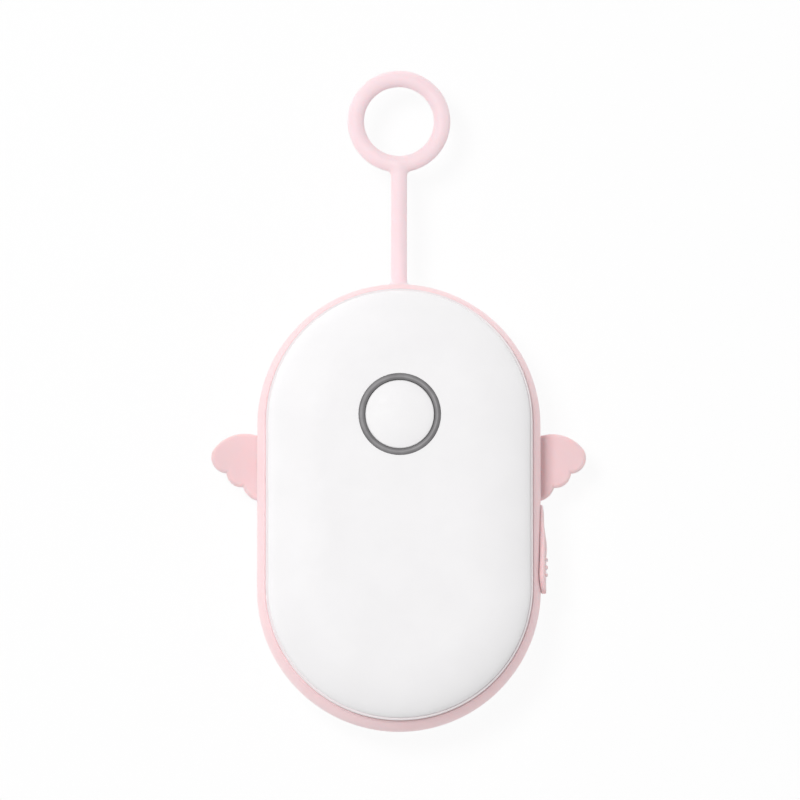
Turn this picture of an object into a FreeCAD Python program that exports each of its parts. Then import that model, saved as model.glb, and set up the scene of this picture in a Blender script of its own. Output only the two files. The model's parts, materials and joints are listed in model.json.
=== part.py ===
import FreeCAD, Part
import math
import os

# Rechargeable pocket hand warmer, lying on its back. All sizes are in millimetres.
# X runs across the body, Y along it towards the wrist loop, Z from the back face to the front face.
# The origin is the middle of the back cover's flat resting face.

# Body
body_width = 57.0  # across the waist of the band
body_length = 90.4  # along the waist of the band, end to end
body_thickness = 25.0  # back face to front face

# Covers
cover_inset = 1.8  # from the band's waist in to the rim of a cover
cover_wall = 1.6  # at the flat middle
rim_wall = 1.8  # at the rim
rim_land = 1.4  # height of the upright rim below the lip
rim_lip = 0.45  # width of the ledge that the lip leaves outside the rounded border
rim_lip_round = 0.15
rim_round = 0.2  # rounded edge of the rim, at the parting groove
rim_bore = 1.4  # straight bore inside the rim that takes the frame's tongue
dome_width = 12.0  # of the rounded border with its lip, from the rim in to the flat

# Frame
band_height = 11.8  # between the rims of the two covers
band_tuck = 1.0  # how far the band's edge reaches in under a rim
tongue_wall = 1.2
tongue_relief = 0.15  # between the end of a tongue and the end of its bore
snap_clearance = 0.1
snap_bite = 0.25  # height of the snap bead on a tongue
snap_flank = 0.35  # from the crest of the bead to its foot

# Band
band_stretch_gap = 0.1  # between the band and the frame
parting_groove = 0.2  # between the band and a rim
band_edge_step = 0.3  # the band's edge stands out from the rim
band_edge_round = 0.4

# Wings: three feather lobes. Places are the distance out from the waist, then the distance from
# the body's middle towards the loop.
wing_back_place = (2.5, 7.3)  # middle of the long arc over the first feather
wing_back_radius = 7.9
wing_tip_radius = 3.1
wing_tip_angle = 40.0  # where the long arc runs into the tip, up from the X axis
second_feather_place = (3.15, 7.5)
second_feather_radius = 3.1
third_feather_place = (-0.9, 5.5)
third_feather_radius = 3.9
wing_thickness = 2.4
wing_drop = 3.4  # from the body's middle plane down to the wing's own, towards the back
wing_edge_round = 0.7
wing_root_depth = 1.8  # from the waist in to the end of the wing inside the band
wing_root_fillet = 0.4
barrel_fit = 0.01  # an edge whose points are this near the barrel face lies on it
barrel_probes = 5  # points that are tried on an edge

# Wrist loop
strap_diameter = 3.25
strap_length = 22.9  # clear length between the band and the ring
ring_diameter = 20.8  # outside
ring_section = 3.35
ring_fillet = 0.7  # where the strap runs into the ring
strap_root_rise = 1.0  # from the band up to the point that the strap bends about
strap_root_step = 0.1  # the root knob is this much larger in radius than the strap
strap_root_gap = 0.1  # between the root knob and the strap's hollow end
strap_root_fillet = 0.25

# Button and bezel
button_from_end = 27.8  # from the loop's end of the band in to the button's axis
bezel_diameter = 16.4
bezel_bore = 14.0
bezel_crown = 0.3  # how far the bezel stands proud of the cover
bezel_edge = 0.05  # height of the bezel's edges over the cover
bezel_seat = 0.6  # depth of its seat in the cover
bezel_tube_wall = 0.6
bezel_tube_length = 3.6  # below the front face
bezel_seat_gap = 0.05
button_running_gap = 0.1
button_sink = 0.1  # the cap's edge lies this far under the front face
button_crown = 0.6  # rise of the cap from its edge to its middle
button_edge_round = 0.3
button_cap_wall = 1.4
button_skirt_wall = 0.9
button_flange = 1.0  # how far the retaining flange reaches past the cap
button_flange_thickness = 0.7
button_stop_gap = 0.05  # between the flange and the end of the bezel's tube
button_stem_diameter = 4.0
button_travel = 0.35

# Switch
switch_width = 6.2
switch_body_height = 3.5
switch_total_height = 5.0  # board to the top of the plunger
plunger_diameter = 3.4
plunger_length = 3.0
plunger_running_gap = 0.08
plunger_bottom_gap = 0.4  # left under the plunger when it is pressed

# Charge socket, hung under the board with its mouth in the band
port_y = -8.6
socket_width = 8.94
socket_height = 3.26
socket_depth = 7.35
socket_wall = 0.3
socket_mouth_sink = 0.9  # from the band's waist in to the socket's mouth
socket_hole_gap = 0.3
tongue_plate_width = 6.7
tongue_plate_thickness = 0.7
tongue_plate_sink = 0.8  # from the socket's mouth in to the tongue's end
socket_base_depth = 2.2
socket_base_gap = 0.03

# Port flap
flap_top = 0.5  # hinged end, from the body's middle
flap_low = -17.4  # free end
flap_hinge_width = 4.2
flap_lip_width = 7.4
flap_hinge_thickness = 0.6
flap_lip_thickness = 1.0
flap_gap = 0.1  # between the flap and the band
flap_edge_round = 0.3
flap_rib_count = 4
flap_rib_pitch = 1.55
flap_rib_radius = 0.35
flap_rib_length = 4.6
flap_last_rib = 3.6  # from the free end to the nearest rib
flap_plug_gap = 0.3
flap_plug_sink = 0.2  # left between the plug and the socket's mouth

# Heating
plate_margin = 0.2  # from the edge of the flat to the heat plate
plate_thickness = 0.8
film_thickness = 0.2
film_margin = 1.0  # the film ends this far inside the plate
film_tail_width = 6.0
film_tail_gap = 0.2  # between a tail and what it passes
button_clear_radius = 9.3  # kept free of heating round the button's axis
fence_gap = 0.15
fence_wall = 0.8
fence_height = 0.7
back_foam_thickness = 0.8
front_foam_thickness = 1.5
front_foam_margin = 1.3  # from the film's edge in to the foam
front_foam_inset = 13.0  # from the film's lower end up to the foam
foam_corner = 2.0
thermistor_length = 2.4
thermistor_width = 1.4
thermistor_height = 0.8
thermistor_x = 7.0
thermistor_inset = 4.0  # from the front foam pad down to the thermistor
film_top_margin = 1.0  # the front film ends this far short of the plate's straight end

# Board
board_thickness = 1.2
board_gap = 0.3  # between the board's edge and the frame
board_left = -14.0
board_tail_margin = 6.5  # from the front film's tail down to the board's lower edge
post_diameter = 4.8
post_inset = 4.8  # from the frame's inner wall to a post's axis
post_root = 0.1  # sunk into the cover's wall
side_post_high = 10.5
side_post_low_inset = 3.4  # from the board's lower edge up to the lower side post
end_post_angle = 28.0  # either side of the Y axis
screw_diameter = 1.9
screw_grip = 5.0  # length in the post
screw_pilot_gap = 0.05
screw_hole_gap = 0.2
screw_head_diameter = 3.8
screw_head_height = 1.3
screw_head_round = 0.5

# Battery
cell_post_gap = 0.6
cell_wall_gap = 2.2
cell_corner_gap = 0.6
cell_board_gap = 0.5  # between the insulation sheet and the board
cell_edge_round = 2.5
sheet_thickness = 0.2
sheet_margin = 2.0
guard_depth = 3.6  # protection board, out from the cell's end
guard_width = 18.0
guard_thickness = 1.0
lead_diameter = 1.2
lead_spacing = 5.0
cell_rib_wall = 1.2
cell_rib_gap = 0.2
cell_rib_spacing = 22.0
cell_rib_height = 6.0

# Derived sizes
mid_z = body_thickness / 2
waist = body_width / 2
spine_half = (body_length - body_width) / 2
end_y = body_length / 2
button_y = end_y - button_from_end
rim = waist - cover_inset
rim_inner = rim - rim_wall
rim_z = mid_z + band_height / 2
flat_half = rim - dome_width
dome_base = rim_z + rim_land
bore_top = rim_z + rim_bore
front_inner = body_thickness - cover_wall
snap_z = rim_z + rim_bore / 2
frame_outer = rim - band_tuck
tongue_outer = rim_inner - snap_clearance
frame_inner = tongue_outer - tongue_wall

band_inner = frame_outer + band_stretch_gap
band_top = rim_z - parting_groove
band_edge = rim + band_edge_step
barrel_half = band_top - band_edge_round - mid_z
barrel_bulge = waist - band_edge
barrel_radius = (barrel_half ** 2 + barrel_bulge ** 2) / (2 * barrel_bulge)
barrel_axis_x = waist - barrel_radius
wing_low = mid_z - wing_drop - wing_thickness / 2

socket_mouth = waist - socket_mouth_sink
socket_back = socket_mouth - socket_depth
board_low = mid_z + socket_height / 2
board_high = board_low + board_thickness

plate_half = flat_half - plate_margin
film_half = plate_half - film_margin
back_film_low = cover_wall + plate_thickness
back_film_high = back_film_low + film_thickness
front_film_high = front_inner - plate_thickness
front_film_low = front_film_high - film_thickness
front_foam_low = front_film_low - front_foam_thickness
front_plate_top = button_y - button_clear_radius
front_film_top = front_plate_top - film_top_margin
front_foam_top = front_film_top - front_foam_margin
front_foam_end = front_foam_inset - spine_half - film_half
front_tail_y = front_foam_end - film_tail_gap - film_thickness
board_lower = front_tail_y - board_tail_margin

post_radius = post_diameter / 2
post_reach = frame_inner - post_inset
end_post_x = post_reach * math.sin(math.radians(end_post_angle))
end_post_y = spine_half + post_reach * math.cos(math.radians(end_post_angle))
post_places = [
    (post_reach, side_post_high),
    (post_reach, board_lower + side_post_low_inset),
    (end_post_x, end_post_y),
    (-end_post_x, end_post_y),
]
pilot_radius = screw_diameter / 2 + screw_pilot_gap

cell_low = back_film_high + back_foam_thickness
cell_high = board_low - cell_board_gap - sheet_thickness
cell_right = post_reach - post_radius - cell_post_gap
cell_left = cell_wall_gap - frame_inner
cell_corner_reach = frame_inner - cell_corner_gap
cell_half_length = spine_half + math.sqrt(cell_corner_reach ** 2 - cell_left ** 2)
cell_middle_x = (cell_left + cell_right) / 2
guard_low = (cell_low + cell_high - guard_thickness) / 2
guard_high = guard_low + guard_thickness
guard_end = cell_half_length + guard_depth
lead_y = cell_half_length + guard_depth / 2

bezel_tube_radius = bezel_bore / 2 + bezel_tube_wall
bezel_tube_low = body_thickness - bezel_tube_length
cap_radius = bezel_bore / 2 - button_running_gap
cap_edge_z = body_thickness - button_sink
flange_high = bezel_tube_low - button_stop_gap
flange_low = flange_high - button_flange_thickness
plunger_top = board_high + switch_total_height
plunger_low = plunger_top - plunger_length

strap_radius = strap_diameter / 2
strap_pivot = FreeCAD.Vector(0, end_y + strap_root_rise, mid_z)
strap_root_radius = strap_radius + strap_root_step
ring_middle_radius = (ring_diameter - ring_section) / 2
ring_y = end_y + strap_length + ring_diameter / 2

flap_face = waist + flap_gap
hinge_radius = flap_hinge_thickness / 2
hinge_x = flap_face + hinge_radius
hinge_y = flap_top - hinge_radius

origin = FreeCAD.Vector(0, 0, 0)
up = FreeCAD.Vector(0, 0, 1)
along = FreeCAD.Vector(0, 1, 0)
across = FreeCAD.Vector(1, 0, 0)


# Building blocks

def at(radius, height):
    """A point of a half profile: distance from the axis or spine, and height."""
    return FreeCAD.Vector(radius, 0, height)


def lines(*points):
    """Straight edges through the points, one after the other."""
    return [Part.LineSegment(a, b).toShape() for a, b in zip(points, points[1:])]


def arc(start, middle, end):
    """A circular edge through three points."""
    return Part.Arc(start, middle, end).toShape()


def quarter_round(centre, radius, first_degrees):
    """A quarter circle of a half profile, from the given direction on."""
    points = []
    for degrees in (first_degrees, first_degrees + 45, first_degrees + 90):
        angle = math.radians(degrees)
        points.append(centre + at(radius * math.cos(angle), radius * math.sin(angle)))
    return arc(*points)


def quarter_ellipse(centre, reach, rise):
    """A quarter of an ellipse of a half profile, from its outermost point to its top."""
    ellipse = Part.Ellipse(centre + at(reach, 0), centre + at(0, rise), centre)
    return Part.ArcOfEllipse(ellipse, 0, math.pi / 2).toShape()


def face_inside(edges):
    """The flat face bounded by edges that follow each other."""
    return Part.Face(Part.Wire(edges))


def single(shape):
    """The one solid that a boolean operation left, with its split faces joined."""
    solids = shape.removeSplitter().Solids
    if len(solids) != 1:
        raise ValueError("expected one solid, found %d" % len(solids))
    return solids[0]


def around_spine(face):
    """Carries a half profile round the stadium: two straight sides and two half turns."""
    near = along * -spine_half
    far = along * spine_half
    side = face.translated(near).extrude(far - near)
    end = face.translated(far).revolve(far, up, 180)
    other_side = side.rotated(origin, up, 180)
    other_end = end.rotated(origin, up, 180)
    return single(side.fuse([end, other_side, other_end]))


def spine_band(inner, outer, low, high):
    """A stadium wall of plain rectangular section, or a plate if it starts at the spine."""
    corners = [at(inner, low), at(outer, low), at(outer, high), at(inner, high), at(inner, low)]
    return around_spine(face_inside(lines(*corners)))


def turned(edges, x, y):
    """A half profile turned about an upright axis at the given place."""
    place = FreeCAD.Vector(x, y, 0)
    return single(face_inside(edges).translated(place).revolve(place, up, 360))


def rod(x, y, radius, low, high):
    """An upright cylinder."""
    return Part.makeCylinder(radius, high - low, FreeCAD.Vector(x, y, low))


def block(x_range, y_range, z_range):
    """A box given by its lowest and highest coordinate along each axis."""
    low = FreeCAD.Vector(x_range[0], y_range[0], z_range[0])
    size = [high - low for low, high in (x_range, y_range, z_range)]
    return Part.makeBox(size[0], size[1], size[2], low)


def rounded_edges(solid, direction, radius):
    """The solid with its straight edges along one direction rounded."""
    chosen = []
    for edge in solid.Edges:
        if abs(edge.tangentAt(edge.FirstParameter).dot(direction)) > 0.999:
            chosen.append(edge)
    return solid.makeFillet(radius, chosen)


def slot_prism(width, height, x_low, x_high):
    """A prism along X at the charge port, with a round-ended section that is long in Y."""
    run = (width - height) / 2
    corners = []
    for side_y, side_z in ((-1, -1), (1, -1), (1, 1), (-1, 1)):
        corners.append(FreeCAD.Vector(x_low, port_y + side_y * run, mid_z + side_z * height / 2))
    far_end = FreeCAD.Vector(x_low, port_y + width / 2, mid_z)
    near_end = FreeCAD.Vector(x_low, port_y - width / 2, mid_z)
    edges = lines(corners[0], corners[1])
    edges.append(arc(corners[1], far_end, corners[2]))
    edges += lines(corners[2], corners[3])
    edges.append(arc(corners[3], near_end, corners[0]))
    return face_inside(edges).extrude(across * (x_high - x_low))


# Covers and frame

def cover_shell():
    """The front cover's domed shell with the snap groove inside its rim."""
    edges = lines(at(0, body_thickness), at(flat_half, body_thickness))
    edges.append(quarter_ellipse(at(flat_half, dome_base), dome_width - rim_lip, body_thickness - dome_base))
    edges += lines(at(rim - rim_lip, dome_base), at(rim - rim_lip_round, dome_base))
    edges.append(quarter_round(at(rim - rim_lip_round, dome_base - rim_lip_round), rim_lip_round, 0))
    edges += lines(at(rim, dome_base - rim_lip_round), at(rim, rim_z + rim_round))
    edges.append(quarter_round(at(rim - rim_round, rim_z + rim_round), rim_round, 270))
    edges += lines(
        at(rim - rim_round, rim_z),
        at(rim_inner, rim_z),
        at(rim_inner, snap_z - snap_flank),
        at(rim_inner + snap_bite, snap_z),
        at(rim_inner, snap_z + snap_flank),
        at(rim_inner, bore_top),
    )
    edges.append(quarter_ellipse(at(flat_half, bore_top), rim_inner - flat_half, front_inner - bore_top))
    edges += lines(at(flat_half, front_inner), at(0, front_inner), at(0, body_thickness))
    return around_spine(face_inside(edges))


def plate_fence():
    """The low wall on the inside of the front cover that locates the heat plate."""
    inner = plate_half + fence_gap
    return spine_band(inner, inner + fence_wall, front_inner - fence_height, front_inner + cover_wall / 2)


def flipped(solid):
    """The mirror image about the body's middle plane, front to back."""
    return solid.mirror(up * mid_z, up)


def front_cover():
    seat_low = body_thickness - bezel_seat
    seat = rod(0, button_y, bezel_diameter / 2 + bezel_seat_gap, seat_low, body_thickness + cover_wall)
    hole = rod(0, button_y, bezel_tube_radius + bezel_seat_gap, bezel_tube_low, body_thickness)
    return single(cover_shell().fuse(plate_fence()).cut([seat, hole]))


def back_cover():
    solid = flipped(cover_shell().fuse(plate_fence()))
    for x, y in post_places:
        solid = solid.fuse(rod(x, y, post_radius, cover_wall - post_root, board_low))
    for x, y in post_places:
        solid = solid.cut(rod(x, y, pilot_radius, board_low - screw_grip - screw_pilot_gap, board_low))
    return single(solid)


def cell_ribs():
    """Ribs from the frame's wall to the cell's left side and lower end, two each."""
    rib_z = (mid_z - cell_rib_height / 2, mid_z + cell_rib_height / 2)
    half_wall = cell_rib_wall / 2
    ribs = []
    for side in (-1, 1):
        offset = side * cell_rib_spacing / 2
        side_span = (offset - half_wall, offset + half_wall)
        ribs.append(block((-frame_outer, cell_left - cell_rib_gap), side_span, rib_z))
        end_span = (cell_middle_x + offset - half_wall, cell_middle_x + offset + half_wall)
        ribs.append(block(end_span, (-end_y, -cell_half_length - cell_rib_gap), rib_z))
    room = spine_band(0, (frame_inner + frame_outer) / 2, rib_z[0], rib_z[1])
    return [rib.common(room) for rib in ribs]


def mid_frame():
    """The ring under the band, with a snap tongue for each cover and ribs that locate the cell."""
    half = band_height / 2
    tongue = half + rim_bore - tongue_relief
    bead = half + rim_bore / 2
    upper = [
        (frame_outer, half),
        (tongue_outer, half),
        (tongue_outer, bead - snap_flank),
        (tongue_outer + snap_bite, bead),
        (tongue_outer, bead + snap_flank),
        (tongue_outer, tongue),
        (frame_inner, tongue),
    ]
    corners = [at(radius, mid_z + height) for radius, height in upper]
    corners += [at(radius, mid_z - height) for radius, height in reversed(upper)]
    corners.append(corners[0])
    ring = around_spine(face_inside(lines(*corners)))
    return single(ring.fuse(cell_ribs()).cut(socket_hole()))


def socket_hole():
    """The hole through frame and band that the charge socket reaches into."""
    width = socket_width + 2 * socket_hole_gap
    height = socket_height + 2 * socket_hole_gap
    return slot_prism(width, height, socket_back, waist + flap_lip_thickness)


# Silicone pieces

def on_circle(place, radius, degrees):
    """A point of a wing's lower face, on a circle round a place given from the waist."""
    angle = math.radians(degrees)
    x = waist + place[0] + radius * math.cos(angle)
    y = place[1] + radius * math.sin(angle)
    return FreeCAD.Vector(x, y, wing_low)


def rounded_rim(plate):
    """A flat plate with the circular edges of both its faces rounded."""
    rims = []
    for edge in plate.Edges:
        if isinstance(edge.Curve, Part.Circle) and edge.BoundBox.ZLength < wing_thickness / 2:
            rims.append(edge)
    return plate.makeFillet(wing_edge_round, rims)


def first_feather():
    """The upper lobe: a long arc from the band runs on into the tip, which ends in the second lobe."""
    tip_offset = wing_back_radius - wing_tip_radius
    turn = math.radians(wing_tip_angle)
    tip_x = wing_back_place[0] + tip_offset * math.cos(turn)
    tip_y = wing_back_place[1] + tip_offset * math.sin(turn)
    tip_place = (tip_x, tip_y)
    to_second = math.atan2(second_feather_place[1] - tip_y, second_feather_place[0] - tip_x)
    end_angle = math.degrees(to_second)
    root_reach = wing_back_place[0] + wing_root_depth
    root_angle = 180 - math.degrees(math.acos(root_reach / wing_back_radius))
    middle_angle = (root_angle + wing_tip_angle) / 2
    root = on_circle(wing_back_place, wing_back_radius, root_angle)
    crest = on_circle(wing_back_place, wing_back_radius, middle_angle)
    shoulder = on_circle(wing_back_place, wing_back_radius, wing_tip_angle)
    tip = on_circle(tip_place, wing_tip_radius, (wing_tip_angle + end_angle) / 2)
    tip_end = on_circle(tip_place, wing_tip_radius, end_angle)
    second_middle = on_circle(second_feather_place, 0, end_angle)
    root_low = FreeCAD.Vector(root.x, third_feather_place[1], root.z)
    edges = [arc(root, crest, shoulder), arc(shoulder, tip, tip_end)]
    edges += lines(tip_end, second_middle, root_low, root)
    return rounded_rim(face_inside(edges).extrude(up * wing_thickness))


def lower_feather(place, radius):
    """A round lobe below the first feather."""
    return rounded_rim(rod(waist + place[0], place[1], radius, wing_low, wing_low + wing_thickness))


def wing():
    """The right wing: three feather lobes in one plate, rounded all round its edge."""
    second = lower_feather(second_feather_place, second_feather_radius)
    third = lower_feather(third_feather_place, third_feather_radius)
    inside_band = spine_band(0, band_inner, wing_low - wing_thickness, wing_low + 2 * wing_thickness)
    return single(first_feather().fuse([second, third]).cut(inside_band))


def on_barrel(edge):
    """Whether an edge beside the straight part of the spine lies on the band's barrel face."""
    for point in edge.discretize(barrel_probes):
        reach = math.hypot(abs(point.x) - barrel_axis_x, point.z - mid_z)
        if abs(reach - barrel_radius) > barrel_fit:
            return False
    return True


def silicone_band():
    """The barrel-shaped band with a wing on each side and the hole for the charge socket."""
    top_inner = at(band_inner, band_top)
    top_outer = at(band_edge - band_edge_round, band_top)
    low_inner = at(band_inner, 2 * mid_z - band_top)
    low_outer = at(band_edge - band_edge_round, 2 * mid_z - band_top)
    upper_round = at(band_edge - band_edge_round, band_top - band_edge_round)
    lower_round = at(band_edge - band_edge_round, 2 * mid_z - band_top + band_edge_round)
    edges = lines(low_outer, low_inner, top_inner, top_outer)
    edges.append(quarter_round(upper_round, band_edge_round, 0))
    barrel_top = at(band_edge, mid_z + barrel_half)
    barrel_low = at(band_edge, mid_z - barrel_half)
    edges.append(arc(barrel_top, at(waist, mid_z), barrel_low))
    edges.append(quarter_round(lower_round, band_edge_round, 270))
    ring = around_spine(face_inside(edges))
    right_wing = wing()
    left_wing = right_wing.mirror(origin, across)
    root_knob = Part.makeSphere(strap_root_radius, strap_pivot)
    moulding = single(ring.fuse([right_wing, left_wing, root_knob]))
    wing_roots = []
    for edge in moulding.Edges:
        box = edge.BoundBox
        if box.YMin > 0 and box.YMax < spine_half and on_barrel(edge):
            wing_roots.append(edge)
    moulding = moulding.makeFillet(wing_root_fillet, wing_roots)
    knob_roots = []
    for edge in moulding.Edges:
        box = edge.BoundBox
        if box.YMin > end_y - strap_root_rise and box.YMax < strap_pivot.y and box.XLength > strap_radius:
            knob_roots.append(edge)
    moulding = moulding.makeFillet(strap_root_fillet, knob_roots)
    return single(moulding.cut(socket_hole()))


def wrist_loop():
    """The strap with its hollow root and the ring, one soft moulding."""
    centre = FreeCAD.Vector(0, ring_y, mid_z)
    ring = Part.makeTorus(ring_middle_radius, ring_section / 2, centre, up)
    strap = Part.makeCylinder(strap_radius, ring_y - ring_middle_radius - strap_pivot.y, strap_pivot, along)
    solid = single(ring.fuse(strap))
    seams = []
    for edge in solid.Edges:
        box = edge.BoundBox
        near_ring = ring_y - ring_diameter / 2 < box.Center.y < ring_y - ring_middle_radius
        if near_ring and strap_radius < box.XLength < ring_section + ring_fillet:
            seams.append(edge)
    solid = solid.makeFillet(ring_fillet, seams)
    return single(solid.cut(Part.makeSphere(strap_root_radius + strap_root_gap, strap_pivot)))


def port_flap():
    """The flap over the charge port: hinge bead, tapered pad, grip ribs and plug boss."""
    length = flap_top - flap_low
    base = FreeCAD.Vector(barrel_axis_x, flap_low, mid_z)
    inner_skin = Part.makeCylinder(barrel_radius + flap_gap, length, base, along)
    outer_skin = Part.makeCylinder(barrel_radius + flap_gap + flap_lip_thickness, length, base, along)
    lip_half = flap_lip_width / 2
    hinge_half = flap_hinge_width / 2

    def outline(y, z):
        return FreeCAD.Vector(barrel_axis_x, y, mid_z + z)

    shoulder_y = flap_low + lip_half
    edges = lines(outline(shoulder_y, lip_half), outline(hinge_y, hinge_half))
    edges += lines(outline(hinge_y, hinge_half), outline(hinge_y, -hinge_half))
    edges += lines(outline(hinge_y, -hinge_half), outline(shoulder_y, -lip_half))
    edges.append(arc(outline(shoulder_y, -lip_half), outline(flap_low, 0), outline(shoulder_y, lip_half)))
    plan = face_inside(edges).extrude(across * (2 * barrel_radius))
    taper = lines(
        FreeCAD.Vector(barrel_axis_x, flap_low, mid_z - barrel_radius),
        FreeCAD.Vector(flap_face + flap_lip_thickness, flap_low, mid_z - barrel_radius),
        FreeCAD.Vector(flap_face + flap_hinge_thickness, flap_top, mid_z - barrel_radius),
        FreeCAD.Vector(barrel_axis_x, flap_top, mid_z - barrel_radius),
        FreeCAD.Vector(barrel_axis_x, flap_low, mid_z - barrel_radius),
    )
    wedge = face_inside(taper).extrude(up * (2 * barrel_radius))
    pad = single(outer_skin.cut(inner_skin).common(plan).common(wedge))
    rim_edges = []
    for edge in pad.Edges:
        ends = [vertex.Point for vertex in edge.Vertexes]
        if min(end.sub(base).cross(along).Length for end in ends) > barrel_radius + flap_gap + hinge_radius:
            rim_edges.append(edge)
    pad = pad.makeFillet(flap_edge_round, rim_edges)
    bead_base = FreeCAD.Vector(hinge_x, hinge_y, mid_z - hinge_half)
    pieces = [Part.makeCylinder(hinge_radius, flap_hinge_width, bead_base, up)]
    slope = (flap_lip_thickness - flap_hinge_thickness) / length
    for index in range(flap_rib_count):
        rib_y = flap_low + flap_last_rib + index * flap_rib_pitch
        rib_x = flap_face + flap_lip_thickness - slope * (rib_y - flap_low)
        rib_base = FreeCAD.Vector(rib_x, rib_y, mid_z - flap_rib_length / 2)
        pieces.append(Part.makeCylinder(flap_rib_radius, flap_rib_length, rib_base, up))
    plug_width = socket_width + 2 * socket_hole_gap - 2 * flap_plug_gap
    plug_height = socket_height + 2 * socket_hole_gap - 2 * flap_plug_gap
    plug_end = flap_face + flap_hinge_thickness / 2
    pieces.append(slot_prism(plug_width, plug_height, socket_mouth + flap_plug_sink, plug_end))
    return single(pad.fuse(pieces))


# Button, bezel and switch

def button_bezel():
    """The plated ring in the front face, with the tube that guides the button."""
    bore = bezel_bore / 2
    outer = bezel_diameter / 2
    edge_z = body_thickness + bezel_edge
    seat_z = body_thickness - bezel_seat
    edges = [arc(at(bore, edge_z), at((bore + outer) / 2, body_thickness + bezel_crown), at(outer, edge_z))]
    edges += lines(
        at(outer, edge_z),
        at(outer, seat_z),
        at(bezel_tube_radius, seat_z),
        at(bezel_tube_radius, bezel_tube_low),
        at(bore, bezel_tube_low),
        at(bore, edge_z),
    )
    return turned(edges, 0, button_y)


def power_button():
    """The cap with its skirt, retaining flange and stem."""
    crown_z = cap_edge_z + button_crown
    crown_reach = cap_radius - button_edge_round
    crown_middle = at(crown_reach / 2, crown_z - button_crown / 4)
    skirt_inner = cap_radius - button_skirt_wall
    stem_radius = button_stem_diameter / 2
    cap_under = cap_edge_z - button_cap_wall
    flange_radius = cap_radius + button_flange
    edges = [arc(at(0, crown_z), crown_middle, at(crown_reach, cap_edge_z))]
    edges.append(quarter_round(at(crown_reach, cap_edge_z - button_edge_round), button_edge_round, 0))
    edges += lines(
        at(cap_radius, cap_edge_z - button_edge_round),
        at(cap_radius, flange_high),
        at(flange_radius, flange_high),
        at(flange_radius, flange_low),
        at(skirt_inner, flange_low),
        at(skirt_inner, cap_under),
        at(stem_radius, cap_under),
        at(stem_radius, plunger_top),
        at(0, plunger_top),
        at(0, crown_z),
    )
    return turned(edges, 0, button_y)


def switch_body():
    half = switch_width / 2
    top = board_high + switch_body_height
    case = block((-half, half), (button_y - half, button_y + half), (board_high, top))
    well_low = plunger_low - button_travel - plunger_bottom_gap
    well = rod(0, button_y, plunger_diameter / 2 + plunger_running_gap, well_low, top)
    return single(case.cut(well))


def switch_plunger():
    return rod(0, button_y, plunger_diameter / 2, plunger_low, plunger_top)


# Heating

def below(solid, top_y):
    """What lies on the near side of a straight cut across the body."""
    return solid.common(block((-waist, waist), (-end_y, top_y), (0, body_thickness)))


def back_heat_plate():
    return spine_band(0, plate_half, cover_wall, back_film_low)


def front_heat_plate():
    return single(below(flipped(back_heat_plate()), front_plate_top))


def back_heater_film():
    """The back film with its tail, which runs on along the back and rises past the battery to the board."""
    film = spine_band(0, film_half, back_film_low, back_film_high)
    tail_low = guard_end + film_tail_gap
    tail_high = tail_low + film_thickness
    tail_x = (-film_tail_width / 2, film_tail_width / 2)
    strip = block(tail_x, (0, tail_high), (back_film_low, back_film_high))
    return single(film.fuse([strip, block(tail_x, (tail_low, tail_high), (back_film_low, board_low))]))


def front_heater_film():
    """The front film with the tail that drops to the board."""
    film = below(spine_band(0, film_half, front_film_low, front_film_high), front_film_top)
    tail_y = (front_tail_y, front_tail_y + film_thickness)
    tail_x = (-film_tail_width / 2, film_tail_width / 2)
    return single(film.fuse(block(tail_x, tail_y, (board_high, front_film_high))))


def back_foam_pad():
    x_range = (-film_half, min(film_half, cell_right))
    y_range = (-cell_half_length + sheet_margin, cell_half_length - sheet_margin)
    return rounded_edges(block(x_range, y_range, (back_film_high, cell_low)), up, foam_corner)


def front_foam_pad():
    half_width = film_half - front_foam_margin
    pad = block((-half_width, half_width), (front_foam_end, front_foam_top), (front_foam_low, front_film_low))
    return rounded_edges(pad, up, foam_corner)


def thermistor():
    top_y = front_foam_end - thermistor_inset
    x_range = (thermistor_x - thermistor_length / 2, thermistor_x + thermistor_length / 2)
    z_range = (front_film_low - thermistor_height, front_film_low)
    return block(x_range, (top_y - thermistor_width, top_y), z_range)


# Battery

def battery_cell():
    """The pouch cell with its long edges rounded."""
    y_range = (-cell_half_length, cell_half_length)
    body = block((cell_left, cell_right), y_range, (cell_low, cell_high))
    return rounded_edges(body, along, cell_edge_round)


def battery_board():
    x_range = (cell_middle_x - guard_width / 2, cell_middle_x + guard_width / 2)
    return block(x_range, (cell_half_length, guard_end), (guard_low, guard_high))


def battery_leads():
    leads = []
    for side in (-1, 1):
        x = cell_middle_x + side * lead_spacing / 2
        leads.append(rod(x, lead_y, lead_diameter / 2, guard_high, board_low))
    return Part.makeCompound(leads)


def insulation_sheet():
    x_range = (cell_left + cell_edge_round, cell_right - cell_edge_round)
    y_range = (-cell_half_length + sheet_margin, cell_half_length - sheet_margin)
    return block(x_range, y_range, (cell_high, cell_high + sheet_thickness))


# Board and what it carries

def control_board():
    """The board, cut from the stadium inside the frame, with a hole over each post."""
    plate = spine_band(0, frame_inner - board_gap, board_low, board_high)
    room = block((board_left, frame_inner), (board_lower, end_y), (board_low, board_high))
    board = plate.common(room)
    for x, y in post_places:
        board = board.cut(rod(x, y, screw_diameter / 2 + screw_hole_gap, board_low, board_high))
    return single(board)


def board_screws():
    screws = []
    for x, y in post_places:
        head = rod(x, y, screw_head_diameter / 2, board_high, board_high + screw_head_height)
        top_edge = [edge for edge in head.Edges if edge.BoundBox.ZMin > board_high + screw_head_height / 2]
        head = head.makeFillet(screw_head_round, top_edge)
        shank = rod(x, y, screw_diameter / 2, board_low - screw_grip, board_high + screw_head_height / 2)
        screws.append(single(head.fuse(shank)))
    return Part.makeCompound(screws)


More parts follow.
